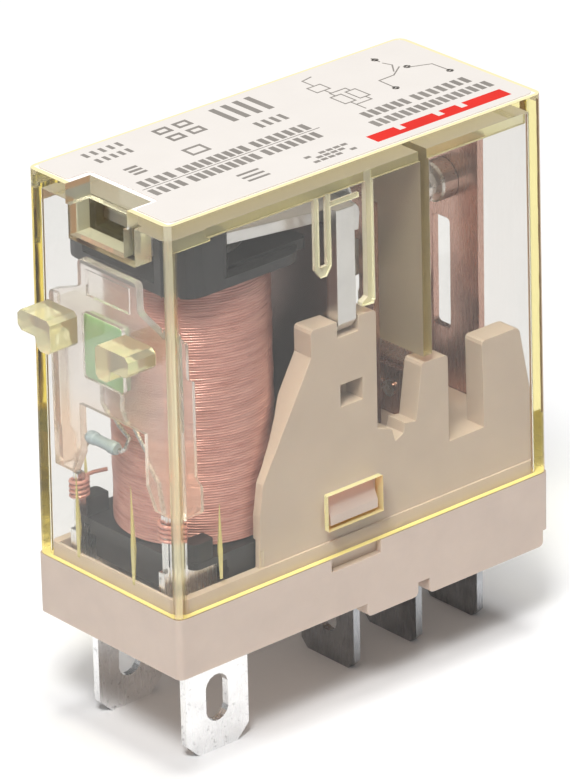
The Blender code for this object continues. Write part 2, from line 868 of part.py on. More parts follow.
def make_lamp(surface):
    low = (CARRIER_X[0] + 0.05, LAMP_Y[0], LAMP_Z[0])
    high = (-12.45, LAMP_Y[1], LAMP_Z[1])
    return add_part("indicator_lamp", box(low, high, 0.2, "x"), surface)


def make_resistor(surface):
    """The lamp's series resistor: a small barrel with a collar at each end."""
    profile = [
        (0, 1.25),
        (0.34, 1.25),
        (0.4, 1.1),
        (0.4, 0.7),
        (0.34, 0.6),
        (0.34, -0.6),
        (0.4, -0.7),
        (0.4, -1.1),
        (0.34, -1.25),
        (0, -1.25),
    ]
    return turned("indicator_resistor", profile, surface, RESISTOR_CENTRE, "y", steps=20)


def lead_routes():
    """The lamp's two leads and the resistor's outer one, down to the tops of the coil terminals' posts."""
    top = LAMP_Z[0] - 0.17
    x = LEAD_X
    post_x = sum(POST_X) / 2
    post_y = COIL_BLADE_Y
    post_top = POST_TOP + 0.05
    resistor_x, _, resistor_z = RESISTOR_CENTRE
    return {
        "lamp_lead_near": [
            (x, -0.5, top),
            (x, -0.5, 14.8),
            (x, -0.9, 14.1),
            (x, -3.5, 11.2),
            (post_x, -post_y + 0.1, 10.0),
            (post_x, -post_y, 9.7),
            (post_x, -post_y, post_top),
        ],
        "lamp_lead_far": [
            (x, 1.3, top),
            (x, 1.3, 14.6),
            (x, 0.2, 13.5),
            (x, -0.7, 13.0),
            (resistor_x, -0.8, 12.5),
            (resistor_x, -0.45, resistor_z),
            (resistor_x, -0.2, resistor_z),
        ],
        "resistor_lead": [
            (resistor_x, 2.6, resistor_z),
            (resistor_x, 2.75, 12.1),
            (x - 0.05, 2.95, 11.6),
            (x - 0.05, 3.8, 10.5),
            (post_x, post_y - 0.1, 9.9),
            (post_x, post_y, 9.65),
            (post_x, post_y, post_top),
        ],
    }


# Assembly -------------------------------------------------------------------------------------------


def main():
    beige = material("beige_polyester", (0.58, 0.49, 0.39), 0.5)
    clear = material("clear_polycarbonate", (0.95, 0.93, 0.72), 0.08, alpha=0.25)
    paper = material("label_film", (0.9, 0.89, 0.85), 0.45)
    charcoal = material("charcoal_nylon", (0.08, 0.082, 0.085), 0.5)
    copper = material("enamelled_copper", (0.75, 0.42, 0.32), 0.3, 0.8)
    iron = material("nickel_plated_iron", (0.72, 0.7, 0.67), 0.3, 1.0)
    silver = material("tinned_brass", (0.78, 0.77, 0.75), 0.25, 1.0)
    bronze = material("spring_bronze", (0.62, 0.42, 0.33), 0.3, 1.0)
    contact = material("contact_silver", (0.8, 0.74, 0.68), 0.28, 1.0)
    spring_steel = material("spring_steel", (0.62, 0.62, 0.6), 0.25, 1.0)
    white = material("card_nylon", (0.85, 0.83, 0.78), 0.5)
    frame = material("carrier_polycarbonate", (0.82, 0.83, 0.83), 0.15, alpha=0.4)
    green = material("green_lamp", (0.4, 0.78, 0.42), 0.25)
    resistor = material("resistor_lacquer", (0.5, 0.55, 0.6), 0.45)

    make_base(beige)
    make_cover(clear)
    make_label(paper)

    make_bobbin(charcoal)
    make_winding(copper)
    make_core(iron)
    make_yoke(iron)
    for name, side in (("near", -1), ("far", 1)):
        make_coil_terminal(f"coil_terminal_{name}", side, silver)
        make_coil_lead(f"coil_lead_{name}", side, copper)

    make_armature(iron)
    make_hinge_spring(spring_steel)
    make_card(white)
    make_moving_spring(bronze)
    make_moving_contact(contact)
    make_nc_terminal(bronze)
    make_common_terminal(bronze)
    make_no_terminal(bronze)
    contact_button("normally_closed_contact", 8.68, LEAF_X - 0.48, 1.1, contact)
    contact_button("normally_open_contact", 12.22, LEAF_X + 0.2 + 0.55 + CONTACT_GAP, 1.25, contact)
    for number, offset in enumerate(RIVET_OFFSETS, 1):
        make_spring_rivet(f"spring_rivet_{number}", offset, silver)

    make_indicator_frame(frame)
    make_lamp(green)
    make_resistor(resistor)
    for name, route in lead_routes().items():
        wire(name, route, LEAD_RADIUS, silver)


clear_scene()
PARTS = new_collection("plug_in_relay")
CUTTERS = new_collection("cutters")
main()
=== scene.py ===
"""The looks of the plug-in relay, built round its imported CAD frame.

Lengths are in millimetres, and MM turns them into Blender's metres.
"""

import math

import bmesh
import bpy
from mathutils import Matrix, Vector, noise


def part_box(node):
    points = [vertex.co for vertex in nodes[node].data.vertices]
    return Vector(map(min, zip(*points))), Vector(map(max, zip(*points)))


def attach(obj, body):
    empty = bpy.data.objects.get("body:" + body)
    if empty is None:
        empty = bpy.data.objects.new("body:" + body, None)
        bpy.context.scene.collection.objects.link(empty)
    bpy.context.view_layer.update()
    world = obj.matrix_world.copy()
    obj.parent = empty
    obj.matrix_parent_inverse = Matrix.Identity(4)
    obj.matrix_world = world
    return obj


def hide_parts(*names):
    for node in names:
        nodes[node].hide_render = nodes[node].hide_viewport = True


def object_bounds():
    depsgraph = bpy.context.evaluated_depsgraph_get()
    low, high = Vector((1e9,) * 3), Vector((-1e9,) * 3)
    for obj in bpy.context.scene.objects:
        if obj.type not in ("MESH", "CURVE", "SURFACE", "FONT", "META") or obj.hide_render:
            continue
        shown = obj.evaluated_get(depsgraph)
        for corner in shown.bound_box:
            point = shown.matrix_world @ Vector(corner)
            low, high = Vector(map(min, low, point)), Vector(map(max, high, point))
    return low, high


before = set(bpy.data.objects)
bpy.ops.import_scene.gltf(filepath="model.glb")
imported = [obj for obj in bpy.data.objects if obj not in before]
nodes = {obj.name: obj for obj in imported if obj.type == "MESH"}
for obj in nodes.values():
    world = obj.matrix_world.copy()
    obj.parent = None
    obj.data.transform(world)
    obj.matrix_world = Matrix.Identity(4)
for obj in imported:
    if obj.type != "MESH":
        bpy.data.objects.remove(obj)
cad_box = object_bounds()
MM = 0.001

# The cover: half its length and width, and the heights of its rim and its roof.
cover_box = [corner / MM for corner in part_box("cover")]
COVER_HALF_X = cover_box[1].x
COVER_HALF_Y = cover_box[1].y
COVER_RIM = cover_box[0].z
COVER_TOP = cover_box[1].z

# The label: half its length and width, and the heights of its film and of the print on it.
label_box = [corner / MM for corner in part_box("top_label")]
LABEL_HALF_X = label_box[1].x
LABEL_HALF_Y = label_box[1].y
LABEL_BOTTOM = label_box[0].z
LABEL_TOP = label_box[1].z - 0.015
PRINT_TOP = label_box[1].z - 0.003
PRINT_ROOT = 0.004
STROKE_DROP = 0.004
FINE_LINE = 0.09
NOTCH_X = -12.2
NOTCH_HALF_Y = 3.0

# The winding: the wire's pitch, how finely each turn is modelled and how far its middle stands in.
WIRE_PITCH = 0.165
ROWS_PER_TURN = 4
STEPS_AROUND = 112
TURN_PROFILE = (-0.075, -0.02, 0.0, -0.02)
WINDING_MARGIN = 0.12
BARREL_HOLE = 2.5

# The cover's plastic: its index, and the yellow that it takes on where light crosses a lot of it.
PLASTIC_INDEX = 1.5
PLASTIC_YELLOW = (0.97, 0.9, 0.4)
PLASTIC_DENSITY = 110.0
CLOUDY_DENSITY = 60.0
PEG_DENSITY = 90.0


# Materials ------------------------------------------------------------------------------------------


class Look:
    """A procedural material. Its patterns are laid out in the row frame, in millimetres."""

    def __init__(self, name, **values):
        self.material = bpy.data.materials.new(name)
        self.material.use_nodes = True
        self.tree = self.material.node_tree
        self.shader = self.tree.nodes["Principled BSDF"]
        self.output = self.tree.nodes["Material Output"]
        for socket, value in values.items():
            self.set(socket.replace("_", " "), value)
        place = self.tree.nodes.new("ShaderNodeTexCoord")
        self.place = place.outputs["Object"]

    def set(self, socket, value):
        if isinstance(value, tuple) and self.shader.inputs[socket].type == "RGBA":
            value = (*value, 1.0)
        self.shader.inputs[socket].default_value = value

    def add(self, kind, **settings):
        node = self.tree.nodes.new(kind)
        for key, value in settings.items():
            setattr(node, key, value)
        return node

    def link(self, source, target):
        self.tree.links.new(source, target)

    def feed(self, socket, source):
        self.link(source, self.shader.inputs[socket])

    def stretched(self, scale):
        """Coordinates with a scale of their own along each axis, per millimetre."""
        mapping = self.add("ShaderNodeMapping")
        self.link(self.place, mapping.inputs["Vector"])
        mapping.inputs["Scale"].default_value = [s / MM for s in scale]
        return mapping.outputs["Vector"]

    def noise(self, scale, detail=3.0, roughness=0.55):
        if not isinstance(scale, tuple):
            scale = (scale, scale, scale)
        node = self.add("ShaderNodeTexNoise")
        self.link(self.stretched(scale), node.inputs["Vector"])
        node.inputs["Scale"].default_value = 1.0
        node.inputs["Detail"].default_value = detail
        node.inputs["Roughness"].default_value = roughness
        return node.outputs["Fac"]

    def span(self, source, low, high, from_low=0.0, from_high=1.0, smooth=False):
        node = self.add("ShaderNodeMapRange")
        if smooth:
            node.interpolation_type = "SMOOTHSTEP"
        self.link(source, node.inputs["Value"])
        for socket, value in (
            ("From Min", from_low),
            ("From Max", from_high),
            ("To Min", low),
            ("To Max", high),
        ):
            node.inputs[socket].default_value = value
        return node.outputs["Result"]

    def height(self, axis="Z"):
        """The row frame's coordinate along one axis, in millimetres."""
        split = self.add("ShaderNodeSeparateXYZ")
        self.link(self.place, split.inputs["Vector"])
        scaled = self.add("ShaderNodeMath", operation="MULTIPLY")
        self.link(split.outputs[axis], scaled.inputs[0])
        scaled.inputs[1].default_value = 1 / MM
        return scaled.outputs[0]

    def maths(self, operation, first, second):
        node = self.add("ShaderNodeMath", operation=operation)
        for index, value in enumerate((first, second)):
            if isinstance(value, (int, float)):
                node.inputs[index].default_value = value
            else:
                self.link(value, node.inputs[index])
        return node.outputs[0]

    def distance(self, axis):
        """How far from the middle plane across one axis, in millimetres."""
        return self.maths("ABSOLUTE", self.height(axis), 0.0)

    def blend(self, factor, first, second):
        node = self.add("ShaderNodeMix", data_type="RGBA")
        self.link(factor, node.inputs["Factor"])
        for index, value in ((6, first), (7, second)):
            if isinstance(value, tuple):
                node.inputs[index].default_value = (*value, 1.0)
            else:
                self.link(value, node.inputs[index])
        return node.outputs[2]

    def bump(self, source, depth, strength=1.0):
        """Relief of `depth` millimetres from a pattern that runs from 0 to 1."""
        node = self.add("ShaderNodeBump")
        self.link(source, node.inputs["Height"])
        node.inputs["Distance"].default_value = depth * MM
        node.inputs["Strength"].default_value = strength
        self.feed("Normal", node.outputs["Normal"])


def moulded(name, light, dark, roughness, grain=0.004):
    """Moulded plastic: faint flow mottling and a fine eroded texture."""
    look = Look(name)
    mottle = look.noise(0.35, 4.0)
    fine = look.noise(9.0, 3.0)
    colour = look.blend(look.span(mottle, 0.0, 1.0, 0.3, 0.7), dark, light)
    look.feed("Base Color", colour)
    look.feed("Roughness", look.span(fine, roughness - 0.07, roughness + 0.07, 0.3, 0.7))
    look.bump(fine, grain)
    look.set("IOR", PLASTIC_INDEX)
    return look


def beige_polyester():
    look = moulded("beige polyester", (0.62, 0.505, 0.425), (0.565, 0.46, 0.39), 0.5)
    look.set("Subsurface Weight", 0.12)
    look.set("Subsurface Radius", (0.8 * MM, 0.5 * MM, 0.3 * MM))
    look.set("Subsurface Scale", 1.0)
    return look.material


def charcoal_nylon():
    return moulded("charcoal nylon", (0.022, 0.022, 0.025), (0.015, 0.015, 0.017), 0.4).material


def metal(name, light, dark, roughness, brushed=(0.4, 6.0, 6.0)):
    """Rolled sheet metal: brushing along one axis and cloudy plating."""
    worn = 0.08
    look = Look(name, Metallic=1.0)
    cloud = look.noise(0.5, 5.0, 0.6)
    lines = look.noise(brushed, 4.0, 0.7)
    look.feed("Base Color", look.blend(look.span(cloud, 0.0, 1.0, 0.3, 0.7), dark, light))
    look.feed("Roughness", look.span(lines, roughness - worn, roughness + worn, 0.25, 0.75))
    look.bump(lines, 0.006, 0.6)
    return look


def nickel_iron():
    return metal("nickel-plated iron", (0.80, 0.79, 0.77), (0.70, 0.69, 0.68), 0.34).material


def painted_shade_iron():
    """The yoke's plating: bright on its two ears, with a dark brown painted shade and painted reflection
    of the winding beside it.
    """
    look = metal("plated iron with painted shade", (0.80, 0.79, 0.77), (0.70, 0.69, 0.68), 0.36)
    bright = look.shader.inputs["Base Color"].links[0].from_socket
    # Painted shade: dark brown stands for the shaded plate and its reflection of the copper winding.
    painted_shade_and_reflection = look.blend(look.noise(0.6, 4.0), (0.20, 0.145, 0.13), (0.30, 0.225, 0.205))
    ear = look.span(look.distance("Y"), 0.0, 1.0, 4.35, 4.75, True)
    look.feed("Base Color", look.blend(ear, painted_shade_and_reflection, bright))
    return look.material


def tinned_brass():
    """Bright tin with darker specks where it is stamped."""
    look = metal("tinned brass", (0.93, 0.93, 0.93), (0.76, 0.76, 0.76), 0.26, (5.0, 5.0, 0.4))
    plain = look.shader.inputs["Base Color"].links[0].from_socket
    specks = look.span(look.noise(2.2, 6.0, 0.7), 0.0, 1.0, 0.58, 0.72)
    look.feed("Base Color", look.blend(specks, plain, (0.34, 0.34, 0.34)))
    return look.material


def contact_alloy():
    """Copper alloy, nickel-plated where it plugs in."""
    look = metal("contact alloy", (0.46, 0.47, 0.49), (0.30, 0.31, 0.32), 0.26, (5.0, 5.0, 0.4))
    plated = look.shader.inputs["Base Color"].links[0].from_socket
    copper = look.blend(look.noise(0.7, 4.0), (0.50, 0.29, 0.23), (0.62, 0.40, 0.33))
    above = look.span(look.height(), 0.0, 1.0, 3.0, 4.5, True)
    look.feed("Base Color", look.blend(above, plated, copper))
    return look.material


def spring_bronze():
    return metal("spring bronze", (0.74, 0.48, 0.36), (0.62, 0.38, 0.27), 0.28).material


def spring_steel():
    return metal("spring steel", (0.72, 0.72, 0.70), (0.60, 0.60, 0.59), 0.22).material


def contact_silver():
    return metal("contact silver", (0.86, 0.83, 0.79), (0.74, 0.70, 0.66), 0.3, (3.0, 3.0, 3.0)).material


def tinned_wire():
    return metal("tinned wire", (0.82, 0.81, 0.80), (0.62, 0.60, 0.58), 0.26, (3.0, 3.0, 3.0)).material


def enamelled_copper():
    """Wire enamel over copper: pinkish, glossy, with darker and paler layers."""
    look = Look("enamelled copper", Metallic=0.35)
    layer = look.noise((0.25, 0.25, 2.2), 4.0, 0.6)
    strand = look.noise((0.6, 0.6, 9.0), 3.0, 0.6)
    painted_winding_glow = look.blend(look.span(layer, 0.0, 1.0, 0.35, 0.65), (0.52, 0.225, 0.19), (0.74, 0.375, 0.33))
    pale = look.span(strand, 0.0, 0.55, 0.4, 0.7)
    look.feed("Base Color", look.blend(pale, painted_winding_glow, (0.82, 0.47, 0.41)))
    look.feed("Roughness", look.span(strand, 0.26, 0.42, 0.3, 0.7))
    look.set("Coat Weight", 0.4)
    look.set("Coat Roughness", 0.2)
    return look.material


def card_nylon():
    return moulded("card nylon", (0.84, 0.82, 0.76), (0.78, 0.76, 0.70), 0.45).material


def resistor_lacquer():
    return moulded("resistor lacquer", (0.42, 0.50, 0.56), (0.36, 0.44, 0.50), 0.25, 0.002).material


def label_film():
    look = moulded("label film", (0.80, 0.755, 0.71), (0.78, 0.735, 0.69), 0.42, 0.0015)
    return look.material


def print_ink(name, colour):
    look = moulded(name, colour, tuple(0.85 * c for c in colour), 0.4, 0.001)
    return look.material


def lamp_green():
    look = moulded("lamp green", (0.44, 0.58, 0.39), (0.33, 0.48, 0.30), 0.22, 0.001)
    look.set("Subsurface Weight", 0.6)
    look.set("Subsurface Radius", (0.6 * MM, 1.2 * MM, 0.6 * MM))
    look.set("Subsurface Scale", 1.0)
    return look.material


def lets_lamps_through(look, tint):
    """Shadow rays pass straight through, as light does through a thin clear wall."""
    path = look.add("ShaderNodeLightPath")
    open_side = look.add("ShaderNodeBsdfTransparent")
    open_side.inputs["Color"].default_value = (*tint, 1.0)
    mix = look.add("ShaderNodeMixShader")
    look.link(path.outputs["Is Shadow Ray"], mix.inputs["Fac"])
    look.link(look.shader.outputs["BSDF"], mix.inputs[1])
    look.link(open_side.outputs["BSDF"], mix.inputs[2])
    look.link(mix.outputs["Shader"], look.output.inputs["Surface"])


def tinted_inside(look, density):
    """Yellow that deepens with the length of plastic that the light crosses."""
    volume = look.add("ShaderNodeVolumeAbsorption")
    volume.inputs["Color"].default_value = (*PLASTIC_YELLOW, 1.0)
    volume.inputs["Density"].default_value = density
    look.link(volume.outputs["Volume"], look.output.inputs["Volume"])


def clear_polycarbonate():
    look = Look("clear polycarbonate", Base_Color=(0.878, 0.875, 0.896))
    look.set("Transmission Weight", 1.0)
    look.set("IOR", PLASTIC_INDEX)
    look.set("Specular Tint", (0.6, 0.6, 0.6))
    look.feed("Roughness", look.span(look.noise(1.5, 4.0), 0.005, 0.03, 0.3, 0.7))
    look.bump(look.noise(0.25, 2.0), 0.01, 0.5)
    lets_lamps_through(look, (0.97, 0.965, 0.94))
    tinted_inside(look, PLASTIC_DENSITY)
    return look.material


def frosted_polycarbonate(name, colour, clear, roughness, density=CLOUDY_DENSITY):
    """The cover's plastic where a worn tool or a thick section makes it cloudy."""
    spread = 0.3 * roughness
    look = Look(name)
    look.set("Transmission Weight", clear)
    look.set("IOR", PLASTIC_INDEX)
    cloud = look.noise(0.8, 4.0)
    look.feed("Base Color", look.blend(cloud, tuple(0.92 * c for c in colour), colour))
    fine = look.noise(2.5, 3.0)
    look.feed("Roughness", look.span(fine, roughness - spread, roughness + spread, 0.3, 0.7))
    lets_lamps_through(look, tuple(0.9 * c for c in colour))
    tinted_inside(look, density)
    return look.material


def label_backing():
    """The roof's top: a painted glow for light through the film on it, and a painted yellow rim past the
    film.
    """
    margin = 0.03
    look = Look("label backing", Roughness=0.55)
    past_end = look.maths("GREATER_THAN", look.distance("X"), LABEL_HALF_X + margin)
    past_side = look.maths("GREATER_THAN", look.distance("Y"), LABEL_HALF_Y + margin)
    rim = look.maths("MAXIMUM", past_end, past_side)
    cloud = look.blend(look.noise(0.6, 4.0), (0.84, 0.78, 0.75), (0.90, 0.84, 0.81))
    # Painted glow: the rim past the film is an opaque yellow for light carried along the plastic.
    look.feed("Base Color", look.blend(rim, cloud, (0.62, 0.54, 0.24)))
    # Painted glow: emission stands for the light that comes through the label film.
    look.set("Emission Color", (0.92, 0.86, 0.84))
    look.set("Emission Strength", 0.3)
    tinted_inside(look, PLASTIC_DENSITY)
    return look.material


def painted_glow_rim():
    """Trapped light leaves the plastic at its cut edges, so they look lit: a painted yellow glow stands
    for it.
    """
    look = moulded("cover rim painted glow", (0.88, 0.76, 0.30), (0.82, 0.70, 0.25), 0.4, 0.001)
    # Painted glow: a faint yellow emission on the rim, which is no lamp.
    look.set("Emission Color", (0.9, 0.78, 0.3))
    look.set("Emission Strength", 0.05)
    return look.material


def milky_polycarbonate():
    """The lamp's carrier: hazy, with a painted warm reflection of the winding low down, where it lies
    close to it.
    """
    look = Look("milky polycarbonate")
    # Painted reflection: peach low down stands for the copper winding showing through the carrier.
    painted_winding_glow = look.span(look.height(), 1.0, 0.0, 12.5, 15.5, True)
    look.feed("Base Color", look.blend(painted_winding_glow, (0.95, 0.905, 0.885), (1.0, 0.86, 0.75)))
    look.set("Transmission Weight", 0.86)
    look.set("IOR", 1.45)
    look.feed("Roughness", look.span(look.noise(1.5, 4.0), 0.06, 0.22, 0.3, 0.7))
    look.bump(look.noise(0.5, 3.0), 0.02, 0.5)
    lets_lamps_through(look, (0.9, 0.9, 0.9))
    return look.material


def set_material(material, *names):
    for name in names:
        mesh = nodes[name].data
        mesh.materials.clear()
        mesh.materials.append(material)
        for face in mesh.polygons:
            face.material_index = 0


def break_edges(width, *names):
    """Rounds the sharp edges that a CAD solid's flat faces meet in."""
    for name in names:
        node = nodes[name]
        weld = node.modifiers.new("weld", "WELD")
        weld.merge_threshold = 1e-6
        flat = node.modifiers.new("flat faces", "DECIMATE")
        flat.decimate_type = "DISSOLVE"
        flat.angle_limit = math.radians(0.8)
        flat.delimit = {"MATERIAL"}
        bevel = node.modifiers.new("broken edges", "BEVEL")
        bevel.width = width * MM
        bevel.segments = 2
        bevel.limit_method = "ANGLE"
        bevel.angle_limit = math.radians(32.0)
        bevel.harden_normals = True
        bevel.use_clamp_overlap = True


# The cover's zones ----------------------------------------------------------------------------------

# The box that holds each part of the moulding. Its y is a distance from the middle plane, so both
# sides of the cover share a box, and a box from MIDDLE to OUTSIDE spans the whole width.
MIDDLE = -1.0
OUTSIDE = 7.0
CEILING = COVER_TOP - 1.2
POCKET = ((-15.0, MIDDLE, 24.5), (-12.3, 3.0, 29.0))
WINDOW = ((-3.1, 5.4, 5.4), (1.4, OUTSIDE, 8.1))
INNER_ZONES = (
    ("partition", (4.9, MIDDLE, 14.0), (5.65, OUTSIDE, CEILING)),
    ("rib", (-3.4, 5.0, 18.0), (1.95, OUTSIDE, 26.3)),
    ("rib", (-8.1, 5.0, 4.8), (-7.6, OUTSIDE, 6.0)),
    ("ledge", (-13.4, 5.0, 26.15), (13.4, OUTSIDE, CEILING)),
)

# How far in from the cover's outside the walls and the rounded corners reach.
ROOF_SKIN = 0.1
RIM_SKIN = 0.05
END_WALL = 0.9
SIDE_WALL = 0.95
CORNER_X = 1.2
CORNER_Y = 1.35
PEG_ROOT = 0.02

# Shares of a face's normal: along one axis, across it, between two axes and near level.
ALONG = 0.9
ACROSS = 0.5
BETWEEN = 0.45
LEVEL = 0.2


def within(point, low, high):
    return all(a < value < b for a, value, b in zip(low, point, high))


def cover_zone(centre, normal):
    """Which part of the moulding a face belongs to, from where it sits and which way it looks."""
    x, y, z = centre / MM
    spot = (x, abs(y), z)
    endways = abs(normal.x) > ALONG
    if z > COVER_TOP - ROOF_SKIN and normal.z > ALONG:
        return "backing"
    if z < COVER_RIM + RIM_SKIN and normal.z < -ALONG:
        return "rim"
    if x < -COVER_HALF_X - PEG_ROOT:
        return "peg"
    on_front_wall = endways and x < END_WALL - COVER_HALF_X
    if within(spot, *POCKET) and not on_front_wall:
        return "recess" if endways and z < CEILING else "pocket"
    if within(spot, *WINDOW) and abs(normal.y) < ACROSS:
        return "window"
    on_side_wall = abs(normal.y) > ALONG and abs(y) > COVER_HALF_Y - SIDE_WALL
    if not on_side_wall:
        for zone, low, high in INNER_ZONES:
            if within(spot, low, high):
                return zone
    turned = min(abs(normal.x), abs(normal.y)) > BETWEEN and abs(normal.z) < LEVEL
    if turned and abs(x) > COVER_HALF_X - CORNER_X and abs(y) > COVER_HALF_Y - CORNER_Y:
        return "corner"
    return "wall"


def dress_cover():
    looks = {
        "wall": clear_polycarbonate(),
        "backing": label_backing(),
        "rim": painted_glow_rim(),
        "peg": frosted_polycarbonate("cover pegs", (0.985, 0.955, 0.72), 0.68, 0.08, PEG_DENSITY),
        "pocket": frosted_polycarbonate("cover pocket", (0.975, 0.96, 0.76), 0.72, 0.1),
        "recess": frosted_polycarbonate(
            "cover recess", (0.80, 0.78, 0.58), 0.97, 0.06, PLASTIC_DENSITY
        ),
        "partition": frosted_polycarbonate("cover partition", (0.64, 0.56, 0.43), 0.68, 0.45),
        "rib": frosted_polycarbonate("cover ribs", (0.97, 0.95, 0.80), 0.35, 0.2),
        "ledge": frosted_polycarbonate("cover ledge", (0.97, 0.92, 0.58), 0.6, 0.15),
        "window": frosted_polycarbonate("cover windows", (0.96, 0.91, 0.50), 0.35, 0.15),
        "corner": frosted_polycarbonate("cover corners", (0.98, 0.95, 0.70), 0.7, 0.16),
    }
    order = list(looks)
    mesh = nodes["cover"].data
    mesh.materials.clear()
    for zone in order:
        mesh.materials.append(looks[zone])
    for face in mesh.polygons:
        face.material_index = order.index(cover_zone(face.center, face.normal))


# Finish of the CAD nodes ----------------------------------------------------------------------------


def finish_nodes():
    set_material(beige_polyester(), "base")
    set_material(charcoal_nylon(), "bobbin")
    set_material(nickel_iron(), "armature", "core")
    set_material(painted_shade_iron(), "yoke")
    set_material(tinned_brass(), "coil_terminal_near", "coil_terminal_far")
    set_material(
        contact_alloy(), "normally_closed_terminal", "common_terminal", "normally_open_terminal"
    )
    set_material(spring_bronze(), "moving_spring")
    set_material(spring_steel(), "hinge_spring")
    set_material(
        contact_silver(), "moving_contact", "normally_closed_contact", "normally_open_contact"
    )
    set_material(
        tinned_wire(),
        "lamp_lead_near",
        "lamp_lead_far",
        "resistor_lead",
        "spring_rivet_1",
        "spring_rivet_2",
    )
    copper = enamelled_copper()
    set_material(copper, "coil_winding", "coil_lead_near", "coil_lead_far")
    set_material(card_nylon(), "actuator_card")
    set_material(resistor_lacquer(), "indicator_resistor")
    set_material(lamp_green(), "indicator_lamp")
    set_material(label_film(), "top_label")
    set_material(milky_polycarbonate(), "indicator_frame")
    dress_cover()
    break_edges(0.12, "base", "bobbin")
    break_edges(0.06, "yoke", "armature")
    break_edges(0.05, "coil_terminal_near", "coil_terminal_far")
    break_edges(0.05, "normally_closed_terminal", "common_terminal", "normally_open_terminal")
    break_edges(0.06, "indicator_frame", "indicator_lamp", "actuator_card")
    break_edges(0.08, "cover")


# Pieces with finer detail than the CAD --------------------------------------------------------------


def add_piece(name, shape, look, body="frame", smooth=False):
    mesh = bpy.data.meshes.new(name)
    shape.to_mesh(mesh)
    shape.free()
    mesh.materials.append(look)
    if smooth:
        mesh.shade_smooth()
    piece = bpy.data.objects.new(name, mesh)
    bpy.context.scene.collection.objects.link(piece)
    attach(piece, body)
    return piece


def spokes(steps):
    """Unit directions spread evenly round the Z axis."""
    for step in range(steps):
        angle = math.tau * step / steps
        yield Vector((math.cos(angle), math.sin(angle), 0))


def coil_row(row, middle, outer, bottom, top):
    """One ring of the winding's surface, whose turns wander up and down and in and out a little."""
    turn = row / ROWS_PER_TURN
    spots = []
    for spoke in spokes(STEPS_AROUND):
        slow = noise.noise(Vector((spoke.x * 0.9, spoke.y * 0.9, turn * 0.11)))
        fast = noise.noise(Vector((spoke.x * 1.7, spoke.y * 1.7, math.floor(turn) * 0.9)))
        radius = outer + TURN_PROFILE[row % ROWS_PER_TURN] + 0.06 * slow + 0.03 * fast
        level = bottom + 0.05 + WIRE_PITCH * (turn + 0.7 * slow) + 0.02 * fast
        level = min(max(level, bottom + 0.01), top - 0.01)
        spots.append(Vector((middle.x, middle.y, level)) + spoke * radius)
    return spots


def hub_row(middle, level):
    """A plain ring round the winding's hole."""
    centre = Vector((middle.x, middle.y, level))
    return [centre + spoke * BARREL_HOLE for spoke in spokes(STEPS_AROUND)]


def wind_coil(look):
    """Turn upon turn of fine wire, laid by machine and a little uneven."""
    low, high = (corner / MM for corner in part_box("coil_winding"))
    middle = (low + high) / 2
    outer = (high.x - low.x) / 2 - WINDING_MARGIN
    rows = int((high.z - low.z - 0.1) / WIRE_PITCH) * ROWS_PER_TURN
    rings = [coil_row(row, middle, outer, low.z, high.z) for row in range(rows + 1)]
    rings += [hub_row(middle, high.z), hub_row(middle, low.z)]
    shape = bmesh.new()
    made = [[shape.verts.new(spot * MM) for spot in ring] for ring in rings]
    for below, above in zip(made, made[1:] + made[:1]):
        for step in range(STEPS_AROUND):
            after = (step + 1) % STEPS_AROUND
            shape.faces.new((below[step], below[after], above[after], above[step]))
    bmesh.ops.recalc_face_normals(shape, faces=shape.faces)
    coil = add_piece("wound_coil", shape, look, smooth=True)
    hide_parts("coil_winding")


def add_block(shape, low, high):
    """A box between two corners, in millimetres."""
    size = Vector(high) - Vector(low)
    middle = (Vector(high) + Vector(low)) / 2
    place = Matrix.Translation(middle * MM) @ Matrix.Diagonal((*(size * MM), 1.0))
    bmesh.ops.create_cube(shape, size=1.0, matrix=place)


def add_stroke(shape, start, end, width):
    """One straight stroke of print on the label, a hair thinner the more it runs across the label."""
    start, end = Vector((*start, 0)), Vector((*end, 0))
    along = end - start
    angle = math.atan2(along.y, along.x)
    turn = Matrix.Rotation(angle, 4, "Z")
    low = LABEL_TOP - PRINT_ROOT
    top = PRINT_TOP - STROKE_DROP * abs(math.sin(angle))
    middle = (start + end) / 2 + Vector((0, 0, (low + top) / 2))
    size = Vector((along.length + width, width, top - low))
    place = Matrix.Translation(middle * MM) @ turn @ Matrix.Diagonal((*(size * MM), 1.0))
    bmesh.ops.create_cube(shape, size=1.0, matrix=place)


def add_route(shape, points, width=FINE_LINE):
    for start, end in zip(points, points[1:]):
        add_stroke(shape, start, end, width)


def add_frame(shape, left, low, right, high, width=FINE_LINE):
    corners = [(left, low), (right, low), (right, high), (left, high), (left, low)]
    add_route(shape, corners, width)


def add_words(shape, start, end, y, height, words):
    """A line of print with no words in it: groups of plain bars, each group as long as its share."""
    space = 0.35
    bar_spacing = 0.6
    half_bar = 0.3 * height
    bar_width = 0.46 * height
    scale = (end - start) / (sum(words) + space * (len(words) - 1))
    left = start
    for word in words:
        reach = word * scale
        bars = max(1, round(reach / bar_spacing))
        for bar in range(bars):
            x = left + reach / bars * (bar + 0.42)
            add_stroke(shape, (x, y - half_bar), (x, y + half_bar), bar_width)
        left += reach + space * scale


def add_dot(shape, x, y):
    """A small ring of strokes, nearly filled by their width."""
    radius = 0.14
    width = 0.16
    points = [Vector((x, y)) + radius * spoke.xy for spoke in spokes(8)]
    add_route(shape, [*points, points[0]], width)


